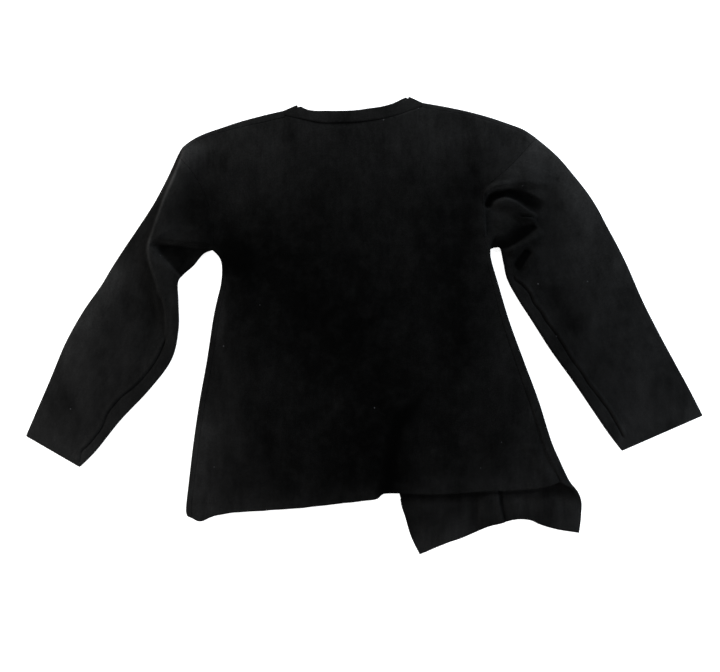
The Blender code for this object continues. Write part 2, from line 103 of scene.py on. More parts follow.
SIDE_LEFT = ((-295, -321), (-297, -306), (-292, -259), (-284, -192), (-274, -125), (-262, -58), (-252, 8),
    (-245, 42), (-239, 67), (-237, 92), (-240, 110), (-252, 125))
SIDE_RIGHT = ((359, -347), (362, -322), (362, -297), (354, -277), (342, -259), (326, -225), (312, -192),
    (291, -125), (266, -58), (242, 8), (222, 75), (214, 102), (209, 125))
ARMHOLE_LEFT = ((-252, 125), (-250, 152), (-254, 184), (-269, 225), (-287, 256), (-311, 282))
ARMHOLE_RIGHT = ((209, 125), (203, 135), (200, 150), (199, 184), (197, 215), (210, 235), (240, 261),
    (264, 286), (287, 312))
SHOULDER_LEFT = ((-311, 282), (-302, 296), (-286, 309), (-266, 319), (-240, 328), (-207, 339),
    (-170, 349), (-134.3, 357.3))
SHOULDER_RIGHT = ((287, 312), (266, 326), (237, 337), (207, 347), (169, 357), (130, 365), (97.6, 370.6))
BACK_HEM = ((-277, -326.5), (-268, -326), (-256, -320), (-240, -316), (-190, -311), (-107, -305),
    (-40, -298), (17, -291), (28, -285), (43, -281), (127, -282), (194, -278), (261, -275), (302, -270))
FRONT_LEFT_HEM = ((-274, -314), (-190, -297), (-107, -286), (-40, -274), (13, -259))
FRONT_RIGHT_HEM = ((93, -383), (127, -368), (169, -353), (205, -338), (227, -332), (244, -327),
    (261, -325), (279, -327), (294, -333), (327, -342))
FRONT_LEFT_EDGE = ((13, -259), (20, -175), (22, -42), (17, 58), (3, 124))
FRONT_RIGHT_EDGE = ((93, -383), (78, -353), (70, -326), (61, -292), (58, -279), (20, -159), (-18, -42),
    (-30, 58), (-23, 124))

# How far a side or shoulder seam lies inside the folded edge: part of its length, distance.
SEAM_INSET_LEFT = ((0, 10), (0.6, 10), (0.9, 9), (1, EDGE_SEAM))
SEAM_INSET_RIGHT = ((0, 12), (0.2, 15), (0.5, 17), (0.9, 10), (1, EDGE_SEAM))
SHOULDER_INSET_LEFT = ((0, EDGE_SEAM), (0.4, 7), (0.8, 12), (1, 12))
SHOULDER_INSET_RIGHT = ((0, EDGE_SEAM), (0.6, 6.5), (1, 8))

# At the left corner of the hem the folded edge's section is turned, to face this way there.
LEFT_HEM_OUT = (-0.93, 0.37)
HEM_TURN_ROWS = 9

# Below the back's hem the right side is open: the part of its length, and how far the folded
# edge is rolled over there, from flat to a whole half turn.
RIGHT_OPENING = 0.19
OPENING_ROLLS = ((0, 0), (0.07, 0.03), (0.13, 0.35), (0.19, 1))

# Each ring of a sleeve: x, y of its inner edge, x, y of its outer edge.
SLEEVE_LEFT = (
    (-252, 125, -311, 282), (-268, 118, -327, 247), (-284, 99, -349, 205), (-301, 84, -372, 169),
    (-310, 70, -399, 129), (-309, 37, -421, 95), (-309, -8, -439, 65), (-321, -58, -469, 22),
    (-357, -107, -498, -30), (-406, -159, -524, -92), (-446, -209, -549, -150), (-474, -237, -564, -185),
)
SLEEVE_RIGHT = (
    (209, 125, 287, 312), (215, 128, 322, 282), (220, 129, 352, 247), (227, 127, 374, 219),
    (232, 104, 391, 192), (239, 75, 404, 167), (257, 42, 424, 130), (279, 8, 441, 95),
    (311, -42, 464, 42), (347, -92, 489, -8), (381, -142, 518, -62), (407, -180, 541, -104),
    (430, -210, 565, -151),
)

# Across the neckband: x, y on the seam that holds it, x, y on its own edge.
BAND_BACK = (
    (-134, 357, -112, 367), (-132.3, 348.5, -105, 364), (-118, 345.5, -94, 359), (-97, 341, -80, 357),
    (-70, 336, -63, 357), (-40, 336, -40, 357), (-13, 337, -15, 358), (12, 340, 7, 361),
    (35, 344, 28, 364), (57, 350, 47, 369), (77, 357, 62, 376), (96.2, 363, 69, 379),
    (97.6, 370.6, 75, 381),
)
BAND_FRONT_LEFT = (
    (3, 125, 20, 137), (-31, 177, -15, 186), (-68, 231, -52, 240), (-104, 295, -88, 304),
)
BAND_FRONT_RIGHT = (
    (65, 302, 48, 309), (34, 238, 17, 246), (2, 179, -14, 187), (-23, 125, -42, 137),
)

# ---- folds: a row for each, along its crest or its bottom ----
# height is negative in a trough; left and right are its widths to each side of the points'
# direction, and rise and fade are the parts of its length over which its two ends die away.

Fold = namedtuple("Fold", "name points height left right rise fade", defaults=(0, 0))
LEFT_OVERLAP = ((-292, 312), (-301, 285), (-307, 268), (-321, 234), (-332, 209), (-341, 184), (-352, 152),
    (-358, 133), (-358, 117), (-352, 92), (-344, 70), (-340, 55), (-331, 35), (-328, 12), (-328, -28),
    (-334, -60))
TOP_FOLDS = (
    # the heaped cloth of the right armpit
    ("upper ridge", ((206, 211), (216, 225), (230, 233), (247, 238), (264, 240), (284, 239), (307, 238),
        (330, 238)), 8, 46, 14, 0.35, 0.45),
    ("ridge's corner", ((200, 196), (201, 212), (207, 224), (218, 231), (236, 235), (258, 236)),
        5.5, 8, 8, 0.2, 0.5),
    ("hollow", ((204, 192), (208, 208), (220, 217), (236, 219), (254, 216), (270, 210), (282, 202)),
        -7, 13, 12, 0.1, 0.1),
    ("hollow's end", ((262, 212), (280, 206), (306, 193)), -5, 12, 20, 0.25, 0.6),
    ("tongue's upper edge", ((214, 190), (221, 201), (229, 208), (238, 209), (250, 204), (262, 196),
        (275, 187), (290, 179)), 7, 5, 26, 0.25, 0.12),
    ("tongue's body", ((214, 168), (250, 176), (285, 178)), 2.5, 18, 22, 0.2, 0.2),
    ("tongue's notch", ((257, 181), (270, 181), (284, 179)), -3.4, 3, 3, 0.3, 0.3),
    ("groove", ((208, 134), (222, 131), (240, 134), (256, 144), (272, 155), (287, 166)),
        -7, 21, 8, 0.1, 0.1),
    ("lower ridge", ((236, 116), (252, 129), (270, 138), (284, 147), (296, 163)), 5, 5.5, 14, 0.2, 0.3),
    ("pocket", ((274, 127), (263, 110), (250, 94)), -7.5, 12, 8, 0.12, 0.25),
    ("pocket's foot", ((262, 106), (262, 84)), -2.6, 14, 12, 0.3, 0.5),
    ("pocket's rim", ((292, 130), (279, 104), (264, 82)), 2, 10, 12, 0.3, 0.3),
    ("right armhole fold", ((199, 222), (198, 184), (200, 140)), 6, 5, 48, 0.35, 0.3),
    ("right sleeve crown dent", ((305, 255), (322, 200)), -0.9, 24, 24, 0.4, 0.4),
    ("right sleeve crown crease", ((321, 249), (323, 236)), -1.5, 4, 6, 0.5, 0.5),
    ("right elbow dip", ((312, 66), (318, 42), (330, 20)), -1.3, 16, 22, 0.5, 0.5),
    ("right elbow ridge", ((277, 70), (305, 68), (338, 72)), 1.6, 14, 12, 0.35, 0.35),
    ("right elbow dent", ((327, 40), (342, 10), (357, -35)), -1.4, 26, 30, 0.5, 0.5),
    # the left sleeve's overlap
    ("left sleeve overlap", LEFT_OVERLAP, 8.5, 50, 5, 0.06, 0.3),
    ("left sleeve shadow hollow", ((-366, 100), (-357, 62), (-350, 24), (-346, -30)),
        -1.3, 8, 40, 0.4, 0.5),
    ("left sleeve inner swell", ((-314, 60), (-310, 5), (-318, -30)), 1.6, 10, 14, 0.3, 0.3),
    ("left sleeve cross ridge", ((-352, 145), (-330, 143), (-291, 140), (-238, 136)),
        4.5, 28, 8, 0.12, 0.3),
    ("left armpit hollow", ((-353, 138), (-334, 115), (-298, 80)), -5, 40, 9, 0.08, 0),
    ("left armpit hollow's middle", ((-350, 134), (-318, 129), (-285, 124), (-250, 121)),
        -3.6, 7, 34, 0.12, 0.2),
    ("left elbow dent", ((-400, 75), (-392, 30), (-380, -10)), -1.5, 26, 22, 0.4, 0.4),
    # the body
    ("trough above the front opening", ((36, -300), (45, -242), (55, -175), (78, -140), (112, -92)),
        -2.7, 26, 22, 0, 0.35),
    ("left body swell", ((-190, 42), (-207, -292)), 1.4, 70, 60, 0.3, 0.3),
    ("middle body dip", ((-107, 125), (-57, -259)), -1.2, 60, 60, 0.3, 0.3),
    ("right body swell", ((177, 42), (244, -242)), 1.6, 55, 50, 0.3, 0.3),
    ("upper back swell", ((-160, 250), (150, 270)), 1.2, 60, 60, 0.3, 0.3),
    ("left armpit drag", ((-245, 118), (-205, 130), (-130, 110)), -0.9, 30, 40, 0.2, 0.6),
    ("left shoulder drag", ((-255, 200), (-215, 262), (-165, 305)), 1.3, 24, 18, 0.4, 0.4),
    ("right shoulder drag", ((190, 200), (150, 262), (120, 315)), 1.3, 18, 26, 0.4, 0.4),
    ("right armpit drag", ((190, 190), (165, 150), (150, 60)), -0.9, 34, 30, 0.3, 0.5),
    ("right hem lift", ((262, -272), (330, -266)), 3.2, 30, 30, 0.3, 0.3),
    ("right hem wrinkle", ((262, -204), (300, -203)), 1.8, 8, 10, 0.4, 0.4),
    ("right side drag", ((276, -190), (300, -240), (322, -262)), 1.6, 12, 16, 0.35, 0.35),
    ("left hem curl", ((-292, -306), (-270, -314), (-240, -312)), 1.8, 16, 16, 0.3, 0.3),
)
FLAP_FOLDS = (
    ("flap soft fold", ((186, -262), (187, -345)), -1.9, 8, 22, 0.1, 0.25),
    ("flap soft swell", ((206, -262), (206, -340)), 2.6, 14, 14, 0.1, 0.3),
    ("flap sharp fold", ((221, -266), (226, -300), (234, -336)), 4.6, 3.4, 24, 0.05, 0.1),
    ("flap sharp fold's foot", ((225, -266), (230, -300), (238, -336)), -1.6, 5, 3, 0.05, 0.1),
    ("flap middle swell", ((256, -285), (262, -325)), 1.6, 22, 24, 0.3, 0.3),
    ("flap side swell", ((300, -285), (330, -335)), 2.6, 24, 26, 0.4, 0.4),
    ("flap corner swell", ((98, -300), (110, -360)), 1.4, 20, 26, 0.3, 0.3),
)

# ---- painted shade and painted highlight, with paler and deeper patches: height is in doublings of the tone ----
# Places and widths were given one by one. The strengths of most broad rows began as a fit to the photo's
# brightness, and were rounded. All others, and later changes, were given one by one.

# Broad and soft ones, mostly painted shade where less light falls and painted highlight where more falls:
# name, points, height, width to each side.
SOFT_TONES = (
    ("deep middle", ((-55, 70), (-10, -20), (40, -110), (45, -190)), -2.2, 335),
    ("middle of the back", ((-100, 95), (-50, -8), (30, -110), (5, -225)), -0.75, 150),
    ("beside the right armpit", ((185, 215), (192, 60)), -0.75, 62),
    ("deepest streak", ((-215, 112), (-120, 88), (-80, 40), (0, -20), (25, -100), (10, -180), (40, -250)),
        -0.7, 60),
    ("left of the middle", ((-195, 110), (-180, -30)), -0.8, 62),
    # Paler patches only make the black lighter where they lie.
    ("worn patch below the neck", ((-88, 228), (-45, 175), (-10, 148)), 0.4, 50),
    ("low left of the middle", ((-160, -150), (-150, -260)), -0.6, 60),
    ("worn patch", ((-85, -65), (-80, -105), (-30, -150)), 0.8, 55),
    ("right of the trough", ((110, -290), (105, -215)), 0.8, 50),
    ("hem", ((-200, -320), (0, -300), (250, -285)), 0.6, 60),
    ("hem left of the trough", ((-45, -290), (-2, -282)), 0.7, 34),
    ("flap's right edge", ((352, -286), (358, -335)), 0.6, 24),
    ("under the left arm", ((-275, 190), (-245, 150), (-215, 110)), -1.35, 65),
    ("left armpit corner", ((-236, 120), (-215, 100)), -0.6, 35),
    ("right of the middle", ((165, 250), (142, 180), (140, 80), (170, -40)), -1.25, 68),
    ("right armpit", ((262, 195), (258, 110)), -1.2, 50),
    ("right sleeve's crown", ((300, 305), (345, 260), (385, 195)), 0.95, 60),
    ("inside of the right sleeve", ((292, 110), (337, 20), (377, -100)), -0.6, 88),
    ("right elbow", ((320, 50), (345, 0)), -0.2, 45),
    ("shadow on the left sleeve", ((-356, 70), (-350, 20)), -0.5, 40),
    ("outside of the left sleeve", ((-430, 80), (-520, -90)), 0.9, 50),
    ("left cuff", ((-550, -170), (-480, -225)), 0.8, 70),
    ("left hem corner", ((-270, -180), (-290, -320)), 0.7, 45),
    ("left shoulder point", ((-330, 250), (-300, 290)), 0.7, 45),
    ("left shoulder", ((-290, 290), (-215, 330)), 0.5, 40),
    ("flap corner", ((105, -365), (150, -350)), 1.3, 50),
    ("right cuff", ((440, -200), (560, -140)), 0.4, 60),
    ("outside of the right sleeve", ((430, 130), (500, 0)), 0.2, 50),
)
# The others have a fold's columns. Most paint shade in troughs, seams, under the hem and beside folds,
# and paint highlight along lit edges and lips.
TONES = (
    ("trough's bottom", ((38, -288), (45, -242), (55, -175), (78, -140), (112, -92)),
        -1.4, 19, 15, 0, 0.4),
    # A paler patch only makes the black lighter where it lies.
    ("worn patch right of the trough", ((100, -150), (120, -60)), 0.3, 40, 40, 0.2, 0.2),
    # along folded edges and seams
    # Painted highlight along the left sleeve's folded edge, which faces the light.
    ("left fold's painted highlight", LEFT_OVERLAP[1:-2], 1.1, 3.2, 3.2, 0.05, 0.6),
    ("beside the left fold", ((-316, 265), (-345, 205), (-370, 145)), 0.6, 14, 10, 0.2, 0.2),
    ("left side edge", ((-228, 98), (-234, 45), (-239, 0), (-246, -50)), 1, 13, 13, 0.2, 0.4),
    ("inner edge of the left sleeve", ((-313, 78), (-311, 30), (-316, -30)), -0.5, 9, 9, 0, 0.2),
    ("inner edge of the right sleeve", ((230, 122), (235, 90), (248, 58)), -1, 10, 10, 0, 0.3),
    ("behind the right armhole fold", ((202.5, 221), (203, 195)), -1.6, 4, 4, 0.1, 0.3),
    ("right shoulder edge", ((97, 366), (169, 353), (237, 332), (266, 321), (300, 298), (340, 268)),
        0.6, 8, 8, 0.1, 0.3),
    ("inside edge of the right sleeve", ((250, 52), (283, 0), (318, -53), (354, -103), (388, -153),
        (420, -196)), -0.5, 8, 8, 0.1, 0.2),
    ("under the back's hem", ((62, -284.5), (127, -286), (194, -282), (261, -279), (306, -274)),
        -1, 2, 6, 0.05, 0.1),
    ("shade by the flap's corner", ((285, -282), (325, -278), (352, -290)), -1, 10, 12, 0.3, 0.2),
    ("sharp fold's bottom", ((225, -277), (228.5, -300), (236.5, -334)), -1.8, 3.4, 3.4, 0, 0.2),
    ("sleeve beside the right armhole seam", ((230, 252), (240, 261), (264, 286), (287, 312)),
        0.4, 0.6, 42, 0.25, 0.15),
    ("faint right end of the neck seam", ((38, 345), (57, 350), (77, 357), (97, 364)),
        0.6, 3.5, 3.5, 0.3, 0.1),
    ("neck seam", ((-112, 344.5), (-95, 340.5), (-70, 336), (-40, 336), (-13, 337), (12, 340), (33, 344)),
        -1.3, 3.4, 3.4, 0.15, 0.15),
    ("lip below the neck seam", ((-70, 330), (-40, 329.5), (-13, 330.5), (12, 333.5)),
        0.3, 4, 4, 0.3, 0.3),
)

# ---- seams on the sleeves and the right side: a narrow groove with a soft roll beside it ----

Seam = namedtuple("Seam", "name points depth width roll offset")
GROOVE_ENDS = (0.05, 0.02)  # the rise and the fade of a seam's groove
ROLL_ENDS = (0.05, 0.03)  # and of its roll
SEAMS = (
    Seam("right side seam", ((268, -100), (274, -117), (278, -133), (282, -152), (294, -192), (302, -217),
        (314, -239), (324, -256), (330, -268)), 0.9, 2.6, 0.9, -4),
    Seam("left underarm seam", ((-327, -17), (-336, -38), (-344, -55), (-357, -75), (-374, -95),
        (-391, -110), (-404, -120), (-419, -137), (-428, -150), (-436, -170), (-448, -187), (-461, -202),
        (-471, -212), (-474, -232)), 1.9, 2.6, 1, 4.5),
    Seam("right underarm seam", ((247, 88), (252, 75), (265, 65), (277, 50), (282, 37), (294, 22),
        (302, 8), (314, -8), (327, -27), (336, -42), (347, -60), (361, -78), (374, -99), (386, -114),
        (397, -129), (407, -142), (417, -159), (426, -175), (433, -190)), 2.1, 2.6, 1.2, -4.5),
)


# ---- plane geometry ----

def smooth(points, steps=CURVE_STEPS):
    """A Catmull-Rom curve through rows of numbers."""
    rows = np.array(points, float)
    ends = np.vstack([rows[:1], rows, rows[-1:]])
    t = (np.arange(steps) + 1)[:, None] / steps
    curve = [rows[:1]]
    for b, s, e, a in zip(ends, ends[1:], ends[2:], ends[3:]):
        curve.append(0.5 * (2 * s + (e - b) * t + (2 * b - 5 * s + 4 * e - a) * t ** 2
                            + (3 * s - b - 3 * e + a) * t ** 3))
    return np.vstack(curve)


def lengths(path):
    return np.concatenate([[0.0], np.cumsum(np.hypot(*np.diff(path[:, :2], axis=0).T))])


def along(path, parts):
    """Rows of a path at the given parts of its length."""
    run = lengths(path)
    goal = np.clip(parts, 0, 1) * run[-1]
    return np.column_stack([np.interp(goal, run, column) for column in path.T])


def own_parts(path):
    run = lengths(path)
    return run / run[-1]


def unit_rows(vectors):
    return vectors / np.hypot(*vectors.T)[:, None]


def right_hand_normals(path):
    ahead = np.vstack([path[1:2] - path[:1], path[2:] - path[:-2], path[-1:] - path[-2:-1]])
    ahead = unit_rows(ahead)
    return np.column_stack([ahead[:, 1], -ahead[:, 0]])


def shifted(path, amount):
    return path + right_hand_normals(path) * amount


def table_values(table, parts):
    rows = np.array(table, float)
    return np.interp(parts, rows[:, 0], rows[:, 1])


def mixed(a, b, part):
    return a + (b - a) * part


def smoothstep(part):
    part = np.clip(part, 0, 1)
    return part * part * (3 - 2 * part)


def fine_parts(size, *stretches):
    """Parts of a length with fine steps at both ends and a (length, step) for each stretch
    between them. The last one takes the rest."""
    first = FIRST_ROWS[-1]
    places = [first]
    for length, step in stretches:
        goal = places[-1] + length if length else size - first
        count = round((goal - places[-1]) / step)
        places.extend(np.linspace(places[-1], goal, count + 1)[1:])
    ends = np.array([0.0, *FIRST_ROWS[:-1]])
    return np.concatenate([ends, places, size - ends[::-1]]) / size


def noise(x, y, size, seed):
    """Soft unevenness between -1 and 1 with cells of the given size."""
    table = np.random.default_rng(seed).uniform(-1, 1, (NOISE_CELLS, NOISE_CELLS))
    column, row = np.floor(x / size).astype(int), np.floor(y / size).astype(int)
    across, up = smoothstep(x / size - column), smoothstep(y / size - row)
    left, right = column % NOISE_CELLS, (column + 1) % NOISE_CELLS
    low, high = row % NOISE_CELLS, (row + 1) % NOISE_CELLS
    return mixed(mixed(table[low, left], table[low, right], across),
                 mixed(table[high, left], table[high, right], across), up)


def uneven(x, y):
    return sum(height * noise(x, y, size, BUMP_SEED + number)
               for number, (size, height) in enumerate(UNEVENNESS))


def wavy(path, seed):
    """A cut edge with slight waves."""
    run = lengths(path)
    wave = sum(height * noise(run, run * 0, size, seed + number)
               for number, (size, height) in enumerate(EDGE_WAVES))
    wave *= smoothstep(run / WAVE_FADE) * smoothstep((run[-1] - run) / WAVE_FADE)
    return path + right_hand_normals(path) * wave[:, None]


def coons(bottom, top, left, right):
    """Plan points, rows up and columns across, that fill four boundary curves."""
    u = own_parts(bottom)[None, :, None]
    v = own_parts(left)[:, None, None]
    up = mixed(bottom[None], top[None], v)
    across = mixed(left[:, None], right[:, None], u)
    flat = mixed(mixed(bottom[0], bottom[-1], u), mixed(top[0], top[-1], u), v)
    return up + across - flat


# ---- heights ----

def fold_heights(fold, x, y):
    """The height that one fold adds at each place."""
    points = np.array(fold.points, float)
    reach = max(fold.left, fold.right)
    low, high = points.min(axis=0) - reach, points.max(axis=0) + reach
    near = (x > low[0]) & (x < high[0]) & (y > low[1]) & (y < high[1])
    heights = np.zeros_like(x)
    px, py = x[near], y[near]
    run = lengths(points)
    best = np.full(px.shape, 1e9)
    side = np.zeros_like(px)
    part = np.zeros_like(px)
    for start, end, before, step in zip(points, points[1:], run, np.diff(run)):
        ahead = (end - start) / step
        reached = np.clip((px - start[0]) * ahead[0] + (py - start[1]) * ahead[1], 0, step)
        dx = px - start[0] - ahead[0] * reached
        dy = py - start[1] - ahead[1] * reached
        away = np.hypot(dx, dy)
        closer = away < best
        best[closer] = away[closer]
        side[closer] = (ahead[0] * dy - ahead[1] * dx)[closer]
        part[closer] = ((before + reached) / run[-1])[closer]
    across = best / np.where(side > 0, fold.left, fold.right)
    shape = np.where(across < 1, (1 - across ** 2) ** 2, 0.0)
    if fold.rise:
        shape *= smoothstep(part / fold.rise)
    if fold.fade:
        shape *= smoothstep((1 - part) / fold.fade)
    heights[near] = fold.height * shape
    return heights


def folds_at(folds, x, y):
    total = np.zeros_like(x)
    for fold in folds:
        total += fold_heights(fold, x, y)
    return total


def smoothed_fold(name, points, *sizes):
    """A table's row as a fold, along a smooth curve through its points."""
    return Fold(name, smooth(points, FOLD_STEPS) if len(points) > 2 else points, *sizes)


def seam_folds(seam):
    """A seam's groove, and the roll beside it, as two folds."""
    path = smooth(seam.points, FOLD_STEPS)
    roll = shifted(path, seam.offset)
    width = abs(seam.offset)
    return (Fold(seam.name, path, -seam.depth, seam.width, seam.width, *GROOVE_ENDS),
            Fold(seam.name + " roll", roll, seam.roll, width, width, *ROLL_ENDS))


def free_heights(x, y, level=BODY_HEIGHT):
    return level + folds_at(ALL_TOP_FOLDS, x, y) + uneven(x, y)


def held_up(heights):
    """No lower than the cloth underneath allows, with a soft turn into that level."""
    return LOWEST_TOP + HELD_UP_TURN * np.logaddexp(0, (heights - LOWEST_TOP) / HELD_UP_TURN)


def top_heights(x, y, level=BODY_HEIGHT):
    return held_up(free_heights(x, y, level))


def creases(heights, x, y, level):
    """How deep each place is, in mm: below the flat cloth, and below the cloth round it; the colour takes
    painted shade from it, and painted highlight on ridges.
    """
    around = np.zeros_like(x)
    for side in range(CREASE_SIDES):
        turn = 2 * math.pi * side / CREASE_SIDES
        around += heights(x + CREASE_REACH * math.cos(turn), y + CREASE_REACH * math.sin(turn))
    here = heights(x, y)
    return (CREASE_ROUND * (around / CREASE_SIDES - here)
            + np.maximum(level - CREASE_LEAST - here, 0.0))


def top_creases(x, y, level=BODY_HEIGHT):
    return creases(lambda x, y: free_heights(x, y, level), x, y, level)


def undersides(top, level=BODY_HEIGHT):
    """The lower face, which stays at the level where folded layers are heaped above it."""
    return np.minimum(level, top) - CLOTH


def below_back(x, y):
    """The highest that a front may come where the back lies on it, and more past the hem."""
    hem_x, hem_y = np.array(BACK_HEM, float).T
    start, end = HEM_CLEARANCE
    past = smoothstep((np.interp(x, hem_x, hem_y) - y - start) / (end - start))
    return undersides(top_heights(x, y)) - LAYER_GAP + past * BODY_HEIGHT


def right_edge_x(y):
    rows = [(p[1], p[0]) for p in FRONT_RIGHT_EDGE]
    rows += [(edge_y, edge_x) for _, _, edge_x, edge_y in reversed(BAND_FRONT_RIGHT)]
    return table_values(rows, y)


def no_lift(x, y):
    return np.zeros_like(x)


def front_lift(x, y):
    outside = right_edge_x(y) - x
    return OVERLAP_LIFT * smoothstep((LIFT_START - outside) / (LIFT_START - LIFT_END))


# ---- walls ----

def add_object(name, data):
    added = bpy.data.objects.new(name, data)
    bpy.context.scene.collection.objects.link(added)
    return added


class Wall:
    """Cloth as a closed wall: each point has a place on its outer and on its inner face."""

    def __init__(self):
        self.outer = np.zeros((0, 3))
        self.inner = np.zeros((0, 3))
        self.cloth = np.zeros((0, 2))
        self.crease = np.zeros(0)
        self.quads = []

    def points(self, outer, inner, cloth, crease):
        """Add arrays of places (rows, columns, 3) and return their numbers."""
        shape = outer.shape[:2]
        start = len(self.outer)
        self.outer = np.vstack([self.outer, outer.reshape(-1, 3)])
        self.inner = np.vstack([self.inner, inner.reshape(-1, 3)])
        self.cloth = np.vstack([self.cloth, cloth.reshape(-1, 2)])
        self.crease = np.concatenate([self.crease, crease.ravel()])
        return np.arange(start, start + shape[0] * shape[1]).reshape(shape)

    def grid(self, numbers):
        quads = np.stack([numbers[:-1, :-1], numbers[:-1, 1:], numbers[1:, 1:], numbers[1:, :-1]],
                         axis=-1)
        self.quads.append(quads.reshape(-1, 4))

    def round_edge(self, rows, drops=CUT_DROPS):
        """Round the two corners of a cut edge, whose rows of points are given from it inwards."""
        for numbers, drop in zip(rows, drops):
            numbers = np.unique(numbers)
            ahead = self.inner[numbers] - self.outer[numbers]
            size = np.linalg.norm(ahead, axis=1)[:, None]
            move = ahead / size * np.minimum(drop, size * MOST_DROP)
            self.outer[numbers] += move
            self.inner[numbers] -= move
            # Along a seam the edge's depth adds painted shade too.
            if drops is not CUT_DROPS:
                self.crease[numbers] += drop * SEAM_PAINTED_SHADE

    def build(self, name, material):
        count = len(self.outer)
        quads = np.vstack(self.quads)
        sides = np.stack([quads, np.roll(quads, -1, axis=1)], axis=-1).reshape(-1, 2)
        forward = sides[:, 0] * count + sides[:, 1]
        backward = sides[:, 1] * count + sides[:, 0]
        rims = sides[~np.isin(backward, forward)]
        rim_quads = np.column_stack([rims[:, 1], rims[:, 0], rims[:, 0] + count, rims[:, 1] + count])
        faces = np.vstack([quads, quads[:, ::-1] + count, rim_quads])
        mesh = bpy.data.meshes.new(name)
        places = np.vstack([self.outer, self.inner]) * MM
        mesh.vertices.add(len(places))
        mesh.vertices.foreach_set("co", places.ravel())
        mesh.loops.add(faces.size)
        mesh.loops.foreach_set("vertex_index", faces.ravel().astype(np.int32))
        mesh.polygons.add(len(faces))
        mesh.polygons.foreach_set("loop_start", np.arange(0, faces.size, 4, dtype=np.int32))
        mesh.update(calc_edges=True)
        mesh.validate()
        layer = mesh.uv_layers.new(name="cloth")
        cloth = np.vstack([self.cloth, self.cloth])[faces.ravel()] * MM
        layer.data.foreach_set("uv", cloth.ravel().astype(np.float32))
        # Painted shade and painted highlight: the tone rows and the depth of creases and seams darken or
        # lighten the colour, through a point attribute.
        shade = 2 ** folds_at(ALL_TONES, *self.outer[:, :2].T)
        shade = shade * table_values(CREASE_PAINTED_LIGHT, self.crease)
        tone = mesh.attributes.new("tone", "FLOAT", "POINT")
        tone.data.foreach_set("value", np.tile(shade, 2).astype(np.float32))
        mesh.materials.append(material)
        mesh.shade_smooth()
        return add_object(name, mesh)


def edge_profile(height, roll, flat):
    """The section round folded edges, as arrays (row, step) of outward and z for both faces.

    It starts underneath, one radius inside the edge. A part roll leaves it half open, and the
    straight stretch that ends it runs on from the roll.
    """
    height, roll, flat = height[:, None], roll[:, None], flat[:, None]
    half = height / 2
    reach = flat * roll + FOLD_RADIUS * (1 - roll)
    steps = EDGE_TURNS + STRIP_STEPS
    turn_part = np.minimum(np.arange(steps + 1) / EDGE_TURNS, 1.0)[None]
    run_part = np.maximum((np.arange(steps + 1) - EDGE_TURNS) / STRIP_STEPS, 0.0)[None]
    turn = np.radians(-90 + 180 * turn_part * roll)
    spread = FOLD_RADIUS * (1 - roll) * turn_part * OPEN_SPREAD
    run = (reach - OPEN_SPREAD * FOLD_RADIUS * (1 - roll)) * run_part
    faces = []
    for radius, rise in ((FOLD_RADIUS, half), (FOLD_RADIUS - CLOTH, half - CLOTH)):
        outward = radius * np.cos(turn) * np.minimum(1.0, roll * 2) + spread - np.sin(turn) * run
        z = half + rise * np.sin(turn) + np.cos(turn) * run
        faces.append((outward, z))
    return faces


class Half:
    """The border of one half of the body: its side, armhole and shoulder."""

    def __init__(self, sign, side, armhole, shoulder, side_inset, shoulder_inset, opening,
                 hem_out=None):
        self.sign = sign
        hole = smooth(armhole)
        size = lengths(hole)[-1]
        ends = along(hole, np.array([FOLD_RADIUS / size, 1 - FOLD_RADIUS / size]))
        first = EDGE_SEAM / size
        self.arm = along(hole, first + (1 - 2 * first) * fine_parts(size, (0, BODY_STEP)))

        inside = shifted(smooth(side), sign * FOLD_RADIUS)
        inside = np.vstack([inside[:-CURVE_STEPS // 2], ends[:1]])
        size = lengths(inside)[-1]
        closed = opening + (1 - opening) * fine_parts(size * (1 - opening), (0, BODY_STEP))
        last, crowded = LAST_ROWS
        crowd = np.linspace(closed[-last], 1, crowded)
        closed = np.concatenate([closed[:-last], crowd])
        opened = np.linspace(0, opening, round(size * opening / FLAP_STEP) + 1)[:-1]
        parts = np.concatenate([opened, closed]) if opening else closed
        self.open_rows = len(parts) - len(closed)
        self.side = along(inside, parts)
        self.side_out = -sign * right_hand_normals(self.side)
        self.side_out[-1] = unit_rows(hole[:1] - ends[:1])[0]
        if hem_out:
            part = smoothstep(np.arange(len(parts)) / HEM_TURN_ROWS)[:, None]
            self.side_out = unit_rows(mixed(np.array([hem_out]), self.side_out, part))
        self.side_inset = table_values(side_inset, parts)
        self.roll = table_values(OPENING_ROLLS, parts) if opening else np.ones(len(parts))

        inside = shifted(smooth(shoulder), sign * FOLD_RADIUS)
        inside = np.vstack([ends[1:], inside[CURVE_STEPS // 2:]])
        parts = fine_parts(lengths(inside)[-1], (0, FRONT_COLUMN))
        self.shoulder = along(inside, parts)
        self.shoulder_out = -sign * right_hand_normals(self.shoulder)
        self.shoulder_out[0] = unit_rows(hole[-1:] - ends[1:])[0]
        self.shoulder_inset = table_values(shoulder_inset, parts)

    def seam(self, places, outs, insets):
        return places - outs * (insets - FOLD_RADIUS)[:, None]

    def side_seam(self):
        return self.seam(self.side, self.side_out, self.side_inset)[self.open_rows:]

    def shoulder_seam(self):
        return self.seam(self.shoulder, self.shoulder_out, self.shoulder_inset)


def matched(path, count):
    """Resample a border so that the opposite one has as many points."""
    return along(path, np.interp(np.linspace(0, 1, count), np.linspace(0, 1, len(path)),
                                 own_parts(path)))


